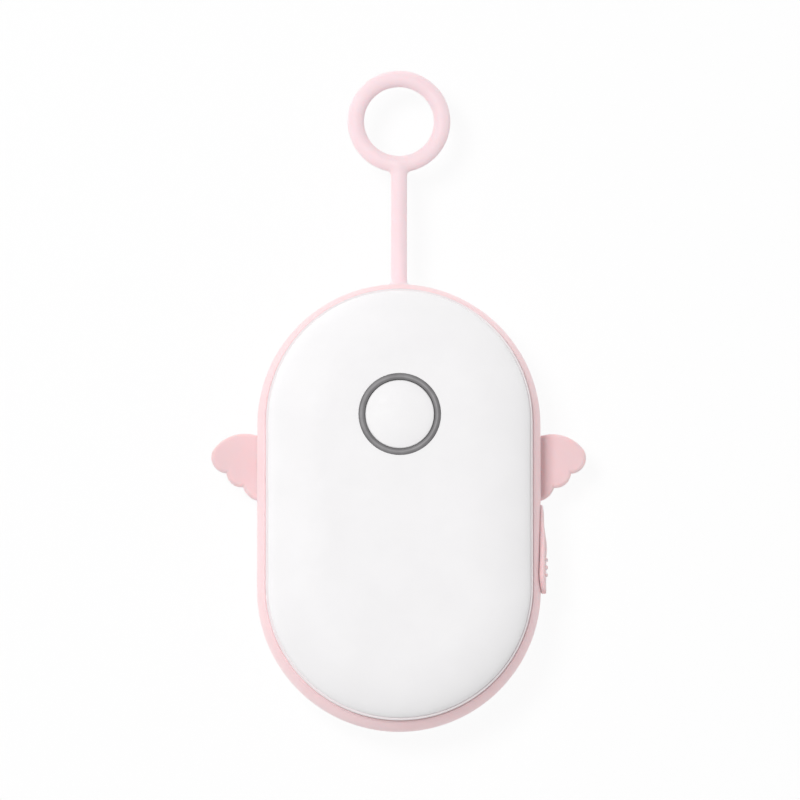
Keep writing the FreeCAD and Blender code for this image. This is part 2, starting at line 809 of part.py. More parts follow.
def on_board(x, y, length, width, height):
    """A plain package that stands on the board."""
    x_range = (x - length / 2, x + length / 2)
    y_range = (y - width / 2, y + width / 2)
    return block(x_range, y_range, (board_high, board_high + height))


chip_height = 1.5
chip_places = [(9.0, 4.0, 6.0, 5.0), (-6.0, 3.0, 4.0, 5.0), (15.0, -2.0, 3.0, 4.0), (-8.0, -12.0, 5.0, 5.0)]
capacitor_size = (1.6, 3.2, 1.6)
capacitor_pitch = 2.6
capacitor_first_x = 8.0
capacitor_y = -12.5
capacitor_count = 4
coil_side = 6.0
coil_height = 3.0
coil_corner = 1.2
coil_x = 1.5
coil_y = -4.0
light_size = (1.6, 0.8, 0.7)
light_pitch = 3.0
light_count = 3


def control_chips():
    return Part.makeCompound([on_board(*place, chip_height) for place in chip_places])


def power_coil():
    return rounded_edges(on_board(coil_x, coil_y, coil_side, coil_side, coil_height), up, coil_corner)


def capacitors():
    row = []
    for index in range(capacitor_count):
        row.append(on_board(capacitor_first_x + index * capacitor_pitch, capacitor_y, *capacitor_size))
    return Part.makeCompound(row)


def indicator_lights():
    """A row of lights under the button, which glows through."""
    row = []
    light_y = button_y - switch_width / 2 - light_size[1]
    for index in range(light_count):
        x = (index - (light_count - 1) / 2) * light_pitch
        row.append(on_board(x, light_y, *light_size))
    return Part.makeCompound(row)


def socket_shell():
    outer = slot_prism(socket_width, socket_height, socket_back, socket_mouth)
    inner_width = socket_width - 2 * socket_wall
    inner_height = socket_height - 2 * socket_wall
    inner = slot_prism(inner_width, inner_height, socket_back + socket_wall, socket_mouth + socket_wall)
    return single(outer.cut(inner))


def socket_tongue():
    """The insulator in the socket: a base that fills the back and the contact tongue."""
    inset = 2 * (socket_wall + socket_base_gap)
    base_low = socket_back + socket_wall
    base_high = base_low + socket_base_depth
    base = slot_prism(socket_width - inset, socket_height - inset, base_low, base_high)
    y_range = (port_y - tongue_plate_width / 2, port_y + tongue_plate_width / 2)
    z_range = (mid_z - tongue_plate_thickness / 2, mid_z + tongue_plate_thickness / 2)
    plate = block((base_low, socket_mouth - tongue_plate_sink), y_range, z_range)
    return single(base.fuse(plate))


nodes = {
    "front_cover": front_cover,
    "back_cover": back_cover,
    "mid_frame": mid_frame,
    "silicone_band": silicone_band,
    "wrist_loop": wrist_loop,
    "port_flap": port_flap,
    "button_bezel": button_bezel,
    "power_button": power_button,
    "switch_body": switch_body,
    "switch_plunger": switch_plunger,
    "front_heat_plate": front_heat_plate,
    "back_heat_plate": back_heat_plate,
    "front_heater_film": front_heater_film,
    "back_heater_film": back_heater_film,
    "front_foam_pad": front_foam_pad,
    "back_foam_pad": back_foam_pad,
    "thermistor": thermistor,
    "battery_cell": battery_cell,
    "battery_board": battery_board,
    "battery_leads": battery_leads,
    "insulation_sheet": insulation_sheet,
    "control_board": control_board,
    "board_screws": board_screws,
    "control_chips": control_chips,
    "power_coil": power_coil,
    "capacitors": capacitors,
    "indicator_lights": indicator_lights,
    "socket_shell": socket_shell,
    "socket_tongue": socket_tongue,
}

os.makedirs("parts", exist_ok=True)
for name, make in nodes.items():
    make().exportStep("parts/%s.step" % name)
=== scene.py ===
import json
import math
from collections import namedtuple

import bmesh
import bpy
import numpy as np
from mathutils import Matrix, Vector


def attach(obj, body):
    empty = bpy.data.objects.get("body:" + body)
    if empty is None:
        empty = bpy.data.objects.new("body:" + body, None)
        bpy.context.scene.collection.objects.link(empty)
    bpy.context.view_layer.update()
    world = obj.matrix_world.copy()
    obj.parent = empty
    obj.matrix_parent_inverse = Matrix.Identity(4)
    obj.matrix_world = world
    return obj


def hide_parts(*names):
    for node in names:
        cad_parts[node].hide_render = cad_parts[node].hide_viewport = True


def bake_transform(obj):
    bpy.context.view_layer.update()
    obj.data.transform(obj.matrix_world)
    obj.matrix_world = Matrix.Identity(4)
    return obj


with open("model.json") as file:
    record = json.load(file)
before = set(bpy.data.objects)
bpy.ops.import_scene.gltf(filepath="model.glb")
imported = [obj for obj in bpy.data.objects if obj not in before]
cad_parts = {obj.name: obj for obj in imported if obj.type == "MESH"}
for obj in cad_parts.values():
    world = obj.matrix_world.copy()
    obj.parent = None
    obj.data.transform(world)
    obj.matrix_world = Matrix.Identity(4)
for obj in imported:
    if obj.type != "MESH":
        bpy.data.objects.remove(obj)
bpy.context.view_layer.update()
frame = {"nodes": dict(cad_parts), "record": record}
nodes = frame["nodes"]

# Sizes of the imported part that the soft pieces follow, in millimetres
MM = 0.001
body_width = 57.0
body_length = 90.4
body_thickness = 25.0
cover_inset = 1.8
band_height = 11.8
band_wall = 0.9  # from a cover's rim in to the band's inner face
button_y = 17.4
port_y = -8.6
hole_half = (4.77, 1.93)  # of the hole for the charge socket, along Y and Z
hole_reach = (-8.0, 2.0)  # of the cut that makes it, along X from the waist
mid_z = body_thickness / 2
waist = body_width / 2
end_y = body_length / 2
spine_half = end_y - waist
rim = waist - cover_inset
rim_z = mid_z + band_height / 2
rim_land = 1.4  # height of a cover's upright rim, up to its narrow lip
band_inner = rim - band_wall
barrel_half = 5.3  # half the height of the band's barrel face
barrel_bulge = 1.5
barrel_radius = (barrel_half ** 2 + barrel_bulge ** 2) / (2 * barrel_bulge)
barrel_axis = waist - barrel_radius
sharp_degrees = 38  # edges of the band that turn more than this stay sharp


# Fields: the distance to a surface in millimetres, below zero inside

def length(*parts):
    return np.sqrt(sum(part * part for part in parts))


def smooth_min(a, b, reach):
    """The nearer of two fields, with a fillet where they meet."""
    mix = np.maximum(reach - np.abs(a - b), 0) / reach
    return np.minimum(a, b) - mix * mix * reach / 4


def rounded_slab(outline, height, half, edge):
    """A slab of an outline, as thick as twice half, with its edges rounded."""
    side = outline + edge
    face = np.abs(height) - (half - edge)
    return np.minimum(np.maximum(side, face), 0) + length(np.maximum(side, 0), np.maximum(face, 0)) - edge


def band_field(x, y, z):
    """The band's barrel, all the way round."""
    from_spine = length(x, np.maximum(np.abs(y) - spine_half, 0))
    return length(from_spine - barrel_axis, z - mid_z) - barrel_radius


fillet_sink = 0.02  # the fillets end this far under the band's surface
fillet_spread = 1.3  # how far a fillet spreads from its body, as a share of its size
root_depth = 1.2
root_round = 0.5
feather_round = root_round / 3  # at the fillets' thin ends


def grown(body, x, y, z, fillet):
    """A body that grows out of the band: filleted where it leaves it, with a rounded root inside it."""
    band = band_field(x, y, z)
    joined = smooth_min(body, band + fillet_sink, fillet)
    trimmed = -smooth_min(-joined, fillet_spread * fillet - body, feather_round)
    return -smooth_min(-trimmed, root_depth + band, root_round)


Circle = namedtuple("Circle", "out along radius")  # out from the waist, along Y

wing_half = 1.2
wing_edge = 0.7
wing_drop = 3.4  # from the middle plane
wing_z = mid_z - wing_drop
wing_turn = math.radians(40.0)
wing_fillet = 0.7
wing_back = Circle(2.5, 7.3, 7.9)
second_feather = Circle(3.15, 7.5, 3.1)
third_feather = Circle(-0.9, 5.5, 3.9)
tip_radius = 3.1
tip_offset = wing_back.radius - tip_radius
wing_tip = Circle(
    wing_back.out + tip_offset * math.cos(wing_turn),
    wing_back.along + tip_offset * math.sin(wing_turn),
    tip_radius,
)


def wing_field(x, y, z):
    """The right wing: three feather lobes that share one plate."""
    out = x - waist
    height = z - wing_z

    def lobe(circle):
        outline = length(out - circle.out, y - circle.along) - circle.radius
        return rounded_slab(outline, height, wing_half, wing_edge)

    past_turn = math.sin(wing_turn) * (out - wing_back.out) - math.cos(wing_turn) * (y - wing_back.along)
    back = np.maximum(lobe(wing_back), past_turn)
    first = np.minimum(back, lobe(wing_tip))
    others = np.minimum(lobe(second_feather), lobe(third_feather))
    return grown(np.minimum(first, others), x, y, z, wing_fillet)


strap_length = 22.9
strap_radius = 1.625
strap_fillet = 1.0
ring_outer = 10.4
ring_section = 1.675
ring_fillet = 0.9
ring_middle = ring_outer - ring_section
ring_y = end_y + strap_length + ring_outer


def loop_field(x, y, z):
    """The strap and its ring."""
    height = z - mid_z
    ring = length(length(x, y - ring_y) - ring_middle, height) - ring_section
    strap = np.maximum(length(x, height) - strap_radius, y - (ring_y - ring_middle))
    return grown(smooth_min(ring, strap, ring_fillet), x, y, z, strap_fillet)


# The flap's outline: a wide round lower end, straight flanks and a narrow round upper end
flap_low = -17.4
flap_top = 0.5
lip_half = 3.7
hinge_half = 2.1
low_y = flap_low + lip_half
flank_span = flap_top - hinge_half - low_y
flank_slope = (lip_half - hinge_half) / flank_span
flank_level = math.sqrt(1 - flank_slope * flank_slope)
unroll_height = 0.5  # above the barrel, where the outline's widths are measured

# Its section: places are measured down from the upper end
flap_gap = 0.1
gap_least = 0.2  # share of the gap that is left at the upper end
gap_start = 5.0
gap_length = 6.0
pad_edge = 0.26
end_thickness = 0.08
taper_length = 1.6
taper_thickness = 0.57
swell_start = 3.0
swell_length = 4.5
swell_thickness = 0.35

# Three narrow ribs near the free end, and a long, low one above them
rib_reach = 0.36
rib_half = 2.0
rib_fillet = 0.12
rib_count = 3
rib_pitch = 1.5
last_rib = 3.75  # from the free end to the nearest rib
rib_places = [flap_low + last_rib + rib_pitch * index for index in range(rib_count)]
long_rib_y = -8.2
long_rib_stretch = 6.0

# The plug on its inside and the root at its upper end
plug_x = 28.4
plug_straight = 2.84
plug_radius = 1.63
plug_half = 0.6
plug_edge = 0.3
hinge_straight = 1.1
hinge_radius = 0.42
hinge_sink = 0.2
hinge_depth_half = 0.6
hinge_edge = 0.2
flap_fillet = 0.3


def flap_outline(side, along):
    """The flap's outline, unrolled, from the middle out and from the centre of its lower end up."""
    turn = along * flank_level - side * flank_slope
    flank = side * flank_level + along * flank_slope - lip_half
    lower_end = length(side, along) - lip_half
    upper_end = length(side, along - flank_span) - hinge_half
    return np.where(turn < 0, lower_end, np.where(turn > flank_span * flank_level, upper_end, flank))


def flap_field(x, y, z):
    """The port flap: a tapered pad that follows the barrel, its grip ribs, plug and hinge root."""
    rise = length(x - barrel_axis, z - mid_z) - barrel_radius
    side = np.abs(np.arctan2(z - mid_z, x - barrel_axis) * (barrel_radius + unroll_height))
    down = flap_top - y
    taper = np.sqrt(np.clip(down / taper_length, 0, 1))
    swell = np.clip((down - swell_start) / swell_length, 0, 1)
    thickness = end_thickness + taper_thickness * taper + swell_thickness * swell * swell * (3 - 2 * swell)
    gap = flap_gap * (gap_least + (1 - gap_least) * np.clip((down - gap_start) / gap_length, 0, 1))
    pad = rounded_slab(flap_outline(side, y - low_y), rise - gap - thickness / 2, thickness / 2, pad_edge)
    top = rise - gap - thickness
    past_rib = np.maximum(side - rib_half, 0)
    for place in rib_places:
        pad = smooth_min(pad, length(y - place, top, past_rib) - rib_reach, rib_fillet)
    long_rib = length((y - long_rib_y) / long_rib_stretch, top, past_rib) - rib_reach / 2
    pad = smooth_min(pad, long_rib, flap_fillet)
    plug_outline = length(np.maximum(np.abs(y - port_y) - plug_straight, 0), z - mid_z) - plug_radius
    plug = rounded_slab(plug_outline, x - plug_x, plug_half, plug_edge)
    pad = smooth_min(pad, plug, flap_fillet)
    root_outline = length(np.maximum(side - hinge_straight, 0), y) - hinge_radius
    root = rounded_slab(root_outline, rise + hinge_sink, hinge_depth_half, hinge_edge)
    return smooth_min(pad, root, flap_fillet)


# Meshes

def mesh_object(name, points, faces, sharp=None):
    """A smooth-shaded object from points in millimetres; edges that turn more than sharp stay sharp."""
    mesh = bpy.data.meshes.new(name)
    mesh.from_pydata((np.asarray(points) * MM).tolist(), [], [tuple(int(i) for i in face) for face in faces])
    mesh.validate()
    mesh.shade_smooth()
    if sharp:
        mesh.set_sharp_from_angle(angle=math.radians(sharp))
    piece = bpy.data.objects.new(name, mesh)
    bpy.context.scene.collection.objects.link(piece)
    return piece


def crossing_points(value, crossed, corner, corner_steps):
    """The mean of the places where a surface crosses the edges of each cell, in grid steps."""
    total = np.zeros((crossed.sum(), 3))
    hits = np.zeros(crossed.sum())
    for axis in range(3):
        for offset in corner_steps:
            if offset[axis]:
                continue
            far = tuple(o + (1 if a == axis else 0) for a, o in enumerate(offset))
            start = corner(value, offset)[crossed]
            stop = corner(value, far)[crossed]
            cut = (start < 0) != (stop < 0)
            share = np.where(cut, start / np.where(cut, start - stop, 1), 0)
            point = np.tile(np.array(offset, float), (len(share), 1))
            point[:, axis] += share
            total += point * cut[:, None]
            hits += cut
    return np.argwhere(crossed) + total / hits[:, None]


def crossing_faces(inside, number):
    """A face across each grid edge that a surface crosses, from the four cells round that edge."""
    faces = []
    for axis in range(3):
        one, two = (axis + 1) % 3, (axis + 2) % 3
        change = np.diff(inside.astype(int), axis=axis)
        trim = [slice(None)] * 3
        trim[one] = slice(1, -1)
        trim[two] = slice(1, -1)
        change = change[tuple(trim)]
        spots = np.argwhere(change != 0)
        flip = change[change != 0] > 0
        spots[:, one] += 1
        spots[:, two] += 1
        ring = []
        for d_one, d_two in ((-1, -1), (0, -1), (0, 0), (-1, 0)):
            cell = spots.copy()
            cell[:, one] += d_one
            cell[:, two] += d_two
            ring.append(number[tuple(cell.T)])
        ring = np.stack(ring, 1)
        ring[flip] = ring[flip][:, ::-1]
        faces.append(ring)
    return np.concatenate(faces)


def settled(points, field, step):
    """Points moved onto a field's zero surface, a part of a grid step at a time."""
    rounds = 6
    probe = 0.002
    least_slope = 0.05
    least_move = 1e-12
    most_move = 0.5 * step
    for _ in range(rounds):
        here = field(*points.T)
        slope = np.stack([
            (field(*(points + probe * unit).T) - field(*(points - probe * unit).T)) / (2 * probe)
            for unit in np.eye(3)
        ], 1)
        steep = np.maximum((slope ** 2).sum(1), least_slope)
        move = here[:, None] * slope / steep[:, None]
        far = np.maximum(np.abs(move).max(1, keepdims=True), least_move)
        points = points - move * np.minimum(1, most_move / far)
    return points


def field_mesh(name, field, low, high, step):
    """A closed mesh of a field's zero surface, with one point in each grid cell that it crosses."""
    axes = [np.arange(a, b + step, step) for a, b in zip(low, high)]
    value = field(*np.meshgrid(*axes, indexing="ij"))
    inside = value < 0
    cells = tuple(len(axis) - 1 for axis in axes)
    corner_steps = [(i, j, k) for i in (0, 1) for j in (0, 1) for k in (0, 1)]

    def corner(grid, offset):
        return grid[tuple(slice(o, o + n) for o, n in zip(offset, cells))]

    filled = sum(corner(inside, offset).astype(int) for offset in corner_steps)
    crossed = (filled > 0) & (filled < len(corner_steps))
    number = np.full(cells, -1)
    number[crossed] = np.arange(crossed.sum())
    points = crossing_points(value, crossed, corner, corner_steps) * step + np.array(low)
    return mesh_object(name, settled(points, field, step), crossing_faces(inside, number))


def mirrored(piece, name):
    """A copy across the YZ plane, with its faces turned the right way out."""
    copy = bpy.data.objects.new(name, piece.data.copy())
    bpy.context.scene.collection.objects.link(copy)
    shape = bmesh.new()
    shape.from_mesh(copy.data)
    for vertex in shape.verts:
        vertex.co.x = -vertex.co.x
    bmesh.ops.reverse_faces(shape, faces=shape.faces)
    shape.to_mesh(copy.data)
    shape.free()
    return copy


def arc_points(centre, radius, first, last, count):
    """Points along an arc, from one angle in degrees to another."""
    angles = np.radians(np.linspace(first, last, count))
    return [(centre[0] + radius * math.cos(a), centre[1] + radius * math.sin(a)) for a in angles]


def around_body(name, profile, arc_steps, side_steps):
    """A closed ring: a profile of (distance from the spine, height) carried round the stadium."""
    stations = []
    for side in (1, -1):
        start = 0 if side > 0 else 180
        for index in range(side_steps):
            stations.append((side * spine_half * (2 * index / side_steps - 1), start))
        for index in range(arc_steps):
            stations.append((side * spine_half, start + 180 * index / arc_steps))
    points = []
    for y, degrees in stations:
        angle = math.radians(degrees)
        for reach, height in profile:
            points.append((reach * math.cos(angle), y + reach * math.sin(angle), height))
    count = len(profile)
    faces = []
    for station in range(len(stations)):
        here = station * count
        following = (station + 1) % len(stations) * count
        for index in range(count):
            after = (index + 1) % count
            faces.append((here + index, following + index, following + after, here + after))
    return mesh_object(name, points, faces, sharp_degrees)


def slot_cutter(name, x_low, x_high):
    """The shape of the hole for the charge socket."""
    arc_count = 17
    straight = hole_half[0] - hole_half[1]
    ring = arc_points((port_y + straight, mid_z), hole_half[1], -90, 90, arc_count)
    ring += arc_points((port_y - straight, mid_z), hole_half[1], 90, 270, arc_count)
    count = len(ring)
    points = [(x_low, y, z) for y, z in ring] + [(x_high, y, z) for y, z in ring]
    faces = [tuple(range(count - 1, -1, -1)), tuple(range(count, 2 * count))]
    faces += [(i, (i + 1) % count, (i + 1) % count + count, i + count) for i in range(count)]
    return mesh_object(name, points, faces)


def cut_away(piece, cutter):
    """Cuts one piece out of another and removes the cutter."""
    step = piece.modifiers.new("cut", "BOOLEAN")
    step.operation = "DIFFERENCE"
    step.solver = "EXACT"
    step.object = cutter
    bpy.context.view_layer.update()
    shaped = bpy.data.meshes.new_from_object(piece.evaluated_get(bpy.context.evaluated_depsgraph_get()))
    piece.modifiers.clear()
    piece.data = shaped
    bpy.data.objects.remove(cutter)
    shaped.shade_smooth()
    shaped.set_sharp_from_angle(angle=math.radians(sharp_degrees))


groove_width = 0.16  # beside a cover's rim
groove_depth = 0.2  # under the height of that rim
lip_drop = 0.05  # of the band's lip under the same height
lip_radius = 0.14
shoulder_drop = 0.5  # from the lip down to the barrel face
shoulder_radius = 0.5
lip_points = 5
shoulder_points = 9
face_points = 41


def band_profile():
    """The band's section: flat inside, a narrow groove at each rim, rounded lips and a barrel face."""
    groove = rim + groove_width
    floor_height = rim_z - groove_depth
    lip = rim_z - lip_drop
    upper = [(band_inner, floor_height), (groove, floor_height), (groove, lip - lip_radius)]
    upper += arc_points((groove + lip_radius, lip - lip_radius), lip_radius, 180, 90, lip_points)[1:]
    face_half = lip - shoulder_drop - mid_z
    face_reach = math.sqrt(barrel_radius ** 2 - face_half ** 2)
    normal = math.atan2(face_half, face_reach)
    centre = (barrel_axis + face_reach - shoulder_radius * math.cos(normal),
              mid_z + face_half - shoulder_radius * math.sin(normal))
    degrees = math.degrees(normal)
    upper += arc_points(centre, shoulder_radius, 90, degrees, shoulder_points)
    face = arc_points((barrel_axis, mid_z), barrel_radius, degrees, -degrees, face_points)[1:-1]
    lower = [(reach, 2 * mid_z - height) for reach, height in reversed(upper)]
    return upper + face + lower


# Materials: colours are pairs that a surface drifts between, and lengths are in metres

noise_span = (0.3, 0.7)  # where nearly all values of a noise lie
drift_scale = 90.0
uneven_scale = 700.0
grain_strength = 0.35
white = ((0.878, 0.868, 0.876), (0.902, 0.892, 0.9))
# The lip's darker, pinker tint is painted shade and painted pink bounce light from the band.
lip_painted_shade = (0.78, 0.725, 0.735)
lip_shade_spread = (0.00004, 0.0001)
band_pink = ((0.925, 0.66, 0.68), (0.945, 0.685, 0.705))
# The wings' darker pink is painted shade and the loop's paler pink is painted sheen, both copies of the
# band's silicone colour.
wing_pink_painted_shade = ((0.8, 0.59, 0.605), (0.825, 0.615, 0.63))
loop_pink_painted_sheen = ((0.905, 0.715, 0.75), (0.93, 0.745, 0.78))
dark_grey = ((0.17, 0.165, 0.17), (0.23, 0.225, 0.23))
shell_rough = (0.55, 0.65)
shell_grain = (3200.0, 0.00002)  # scale and depth
silicone_rough = (0.52, 0.64)
silicone_grain = (2600.0, 0.00003)
mould_line_half = 0.00009
mould_line_height = 0.00004
mould_line_strength = 0.5
plated_rough = (0.55, 0.75)
patch_scale = 260.0
lathe_scale = 9000.0
lathe_depth = 0.00002
lathe_strength = 0.25

Look = namedtuple("Look", "material tree shader place grain")


def node_tree(name):
    """A new material with one principled shader."""
    material = bpy.data.materials.new(name)
    material.use_nodes = True
    tree = material.node_tree
    tree.nodes.clear()
    shader = tree.nodes.new("ShaderNodeBsdfPrincipled")
    output = tree.nodes.new("ShaderNodeOutputMaterial")
    tree.links.new(shader.outputs["BSDF"], output.inputs["Surface"])
    return material, tree, shader


def add(tree, kind, **settings):
    """A node with its own settings; a setting whose name is a socket's sets that socket."""
    node = tree.nodes.new(kind)
    for key, value in settings.items():
        if hasattr(node, key):
            setattr(node, key, value)
        else:
            node.inputs[key.replace("_", " ")].default_value = value
    return node


def noise(tree, place, scale, detail):
    """A noise by place."""
    node = add(tree, "ShaderNodeTexNoise", Scale=scale, Detail=detail, Roughness=0.55)
    tree.links.new(place, node.inputs["Vector"])
    return node.outputs["Fac"]


def spread(tree, value, span, to_span):
    """A value carried from one range to another."""
    node = add(tree, "ShaderNodeMapRange", From_Min=span[0], From_Max=span[1], To_Min=to_span[0],
               To_Max=to_span[1])
    tree.links.new(value, node.inputs["Value"])
    return node.outputs["Result"]


def colour_sockets(sockets):
    return [socket for socket in sockets if socket.type == "RGBA"]


def tint(tree, value, colours):
    """A colour between two, by a value from 0 to 1."""
    node = add(tree, "ShaderNodeMix", data_type="RGBA")
    for socket, colour in zip(colour_sockets(node.inputs), colours):
        socket.default_value = (*colour, 1)
    tree.links.new(value, node.inputs[0])
    return colour_sockets(node.outputs)[0]


def bump(tree, shader, height, strength, distance, before=None):
    """Raises a shader's surface by a height, on top of the bump before it."""
    node = add(tree, "ShaderNodeBump", Strength=strength, Distance=distance)
    tree.links.new(height, node.inputs["Height"])
    if before:
        tree.links.new(before, node.inputs["Normal"])
    tree.links.new(node.outputs["Normal"], shader.inputs["Normal"])
    return node.outputs["Normal"]


def moulded(name, colours, rough, grain_scale, grain_depth, **sockets):
    """A moulded surface: slight colour drift, uneven gloss and a fine spark-eroded grain."""
    material, tree, shader = node_tree(name)
    place = add(tree, "ShaderNodeTexCoord").outputs["Object"]
    drift = spread(tree, noise(tree, place, drift_scale, 2.0), noise_span, (0.0, 1.0))
    tree.links.new(tint(tree, drift, colours), shader.inputs["Base Color"])
    uneven = noise(tree, place, uneven_scale, 4.0)
    tree.links.new(spread(tree, uneven, noise_span, rough), shader.inputs["Roughness"])
    grain = bump(tree, shader, noise(tree, place, grain_scale, 3.0), grain_strength, grain_depth)
    for key, value in sockets.items():
        shader.inputs[key.replace("_", " ")].default_value = value
    return Look(material, tree, shader, place, grain)


def off_height(tree, place, height):
    """How far a place lies from a height in millimetres, up or down."""
    split = add(tree, "ShaderNodeSeparateXYZ")
    tree.links.new(place, split.inputs["Vector"])
    off = add(tree, "ShaderNodeMath", operation="SUBTRACT")
    tree.links.new(split.outputs["Z"], off.inputs[0])
    off.inputs[1].default_value = height * MM
    apart = add(tree, "ShaderNodeMath", operation="ABSOLUTE")
    tree.links.new(off.outputs["Value"], apart.inputs[0])
    return apart.outputs["Value"]


def silicone(name, colours, depth):
    """Matte silicone with a mould line at the middle plane; depth is the share of light that enters it."""
    look = moulded(name, colours, silicone_rough, *silicone_grain, Subsurface_Weight=depth,
                   Subsurface_Scale=0.001, Subsurface_Radius=(1.2, 0.6, 0.5),
                   Sheen_Weight=0.3, Sheen_Roughness=0.4)
    line = spread(look.tree, off_height(look.tree, look.place, mid_z), (0.0, mould_line_half), (1.0, 0.0))
    bump(look.tree, look.shader, line, mould_line_strength, mould_line_height, look.grain)
    return look.material


def shell():
    """White moulded plastic, darker and pinker along the front cover's lip, beside the silicone: painted
    shade and painted pink bounce light.
    """
    look = moulded("shell_white", white, shell_rough, *shell_grain)
    clean = look.shader.inputs["Base Color"].links[0].from_socket
    # a thin band round the lip's height gets the painted shade and painted pink bounce light
    share = spread(look.tree, off_height(look.tree, look.place, rim_z + rim_land), lip_shade_spread, (1.0, 0.0))
    mixed = tint(look.tree, share, (white[0], lip_painted_shade))
    look.tree.links.new(clean, colour_sockets(mixed.node.inputs)[0])
    look.tree.links.new(mixed, look.shader.inputs["Base Color"])
    return look.material


def plated():
    """Dark plated metal, turned on a lathe: fine rings round the button's axis."""
    material, tree, shader = node_tree("plated_dark")
    place = add(tree, "ShaderNodeTexCoord").outputs["Object"]
    shifted = add(tree, "ShaderNodeVectorMath", operation="SUBTRACT")
    tree.links.new(place, shifted.inputs[0])
    shifted.inputs[1].default_value = (0, button_y * MM, 0)
    split = add(tree, "ShaderNodeSeparateXYZ")
    tree.links.new(shifted.outputs["Vector"], split.inputs["Vector"])
    flat = add(tree, "ShaderNodeCombineXYZ")
    tree.links.new(split.outputs["X"], flat.inputs["X"])
    tree.links.new(split.outputs["Y"], flat.inputs["Y"])
    reach = add(tree, "ShaderNodeVectorMath", operation="LENGTH")
    tree.links.new(flat.outputs["Vector"], reach.inputs[0])
    ring_place = add(tree, "ShaderNodeCombineXYZ")
    tree.links.new(reach.outputs["Value"], ring_place.inputs["X"])
    rings = noise(tree, ring_place.outputs["Vector"], lathe_scale, 2.0)
    patch = spread(tree, noise(tree, place, patch_scale, 3.0), noise_span, (0.0, 1.0))
    tree.links.new(tint(tree, patch, dark_grey), shader.inputs["Base Color"])
    tree.links.new(spread(tree, rings, noise_span, plated_rough), shader.inputs["Roughness"])
    bump(tree, shader, rings, lathe_strength, lathe_depth)
    shader.inputs["Metallic"].default_value = 1.0
    return material


# For each slot: the material's name, its two colours, roughness, and the grain's scale and depth
plain_looks = {
    "white_cap": ("cap_white", white, (0.5, 0.6), 4200.0, 0.000015),
    "frame_plastic": ("frame_natural", ((0.76, 0.76, 0.74), (0.8, 0.8, 0.78)), (0.4, 0.55), 2500.0, 0.00002),
    "polyimide": ("film_amber", ((0.6, 0.3, 0.05), (0.7, 0.38, 0.08)), (0.25, 0.4), 1500.0, 0.00001),
    "foam": ("foam_black", ((0.05, 0.05, 0.05), (0.09, 0.09, 0.09)), (0.8, 0.95), 2200.0, 0.0001),
    "board_green": ("board_mask", ((0.02, 0.17, 0.07), (0.03, 0.22, 0.1)), (0.3, 0.45), 2000.0, 0.00001),
    "black_plastic": ("plastic_black", ((0.02, 0.02, 0.02), (0.035, 0.035, 0.035)), (0.4, 0.6), 4000.0,
                      0.00001),
    "lead_red": ("lead_insulation", ((0.5, 0.03, 0.02), (0.6, 0.05, 0.04)), (0.4, 0.55), 3000.0, 0.00001),
    "insulation_paper": ("paper_insulation", ((0.56, 0.58, 0.5), (0.64, 0.66, 0.58)), (0.7, 0.9), 2500.0,
                         0.00003),
    "ferrite": ("coil_ferrite", ((0.09, 0.09, 0.1), (0.14, 0.14, 0.15)), (0.5, 0.7), 3000.0, 0.00003),
    "ceramic_tan": ("capacitor_ceramic", ((0.45, 0.32, 0.19), (0.54, 0.39, 0.24)), (0.4, 0.6), 4000.0,
                    0.00001),
    "clear_light": ("light_resin", ((0.85, 0.83, 0.66), (0.92, 0.9, 0.74)), (0.1, 0.2), 2000.0, 0.00001),
}
metal_looks = {
    "heat_aluminium": ("plate_aluminium", ((0.74, 0.75, 0.76), (0.8, 0.81, 0.82)), (0.28, 0.42), 1800.0,
                       0.00001),
    "cell_pouch": ("pouch_foil", ((0.66, 0.67, 0.68), (0.74, 0.75, 0.76)), (0.25, 0.45), 900.0, 0.00004),
    "steel": ("steel_stamped", ((0.56, 0.56, 0.57), (0.66, 0.66, 0.67)), (0.25, 0.4), 2600.0, 0.00001),
}
band_look = silicone("silicone_pink", band_pink, 0.18)
# The wing and flap silicone is a darker copy as painted shade, and the loop silicone is a paler copy as
# painted sheen.
wing_shaded_look = silicone("silicone_wing_shaded", wing_pink_painted_shade, 0.6)
loop_sheen_look = silicone("silicone_loop_sheen", loop_pink_painted_sheen, 0.3)
slot_looks = {"white_shell": shell(), "pink_silicone": band_look, "plated_metal": plated()}
for slot, settings in plain_looks.items():
    slot_looks[slot] = moulded(*settings).material
for slot, settings in metal_looks.items():
    slot_looks[slot] = moulded(*settings, Metallic=1.0).material
for part in frame["record"]["subparts"]:
    for material_slot in nodes[part["node"]].material_slots:
        material_slot.material = slot_looks[part["material_slot"]]


# Silicone pieces: boxes that their fields lie well inside, and grid steps, in millimetres

wing_box = ((25.24, -0.1, 6.6), (38.2, 16.4, 11.8))
wing_step = 0.16
loop_box = ((-11.0, 43.15, 9.1), (11.0, 89.6, 15.9))
loop_step = 0.22
flap_box = ((26.57, -17.9, 8.0), (30.6, 1.2, 17.0))
flap_step = 0.13


def finish_soft(piece, look):
    """Gives a silicone piece its look and slot."""
    piece.data.materials.clear()
    piece.data.materials.append(look)


band = around_body("band_ring", band_profile(), arc_steps=72, side_steps=12)
cut_away(band, slot_cutter("socket_slot", waist + hole_reach[0], waist + hole_reach[1]))
finish_soft(band, band_look)
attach(band, "case")
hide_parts("silicone_band")

wing_right = field_mesh("wing_right", wing_field, *wing_box, wing_step)
wing_left = mirrored(wing_right, "wing_left")
for wing in (wing_right, wing_left):
    finish_soft(wing, wing_shaded_look)
    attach(wing, "case")
    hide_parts("silicone_band")

loop = field_mesh("wrist_strap", loop_field, *loop_box, loop_step)
finish_soft(loop, loop_sheen_look)
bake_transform(loop)
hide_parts("wrist_loop")

flap = field_mesh("flap_pad", flap_field, *flap_box, flap_step)
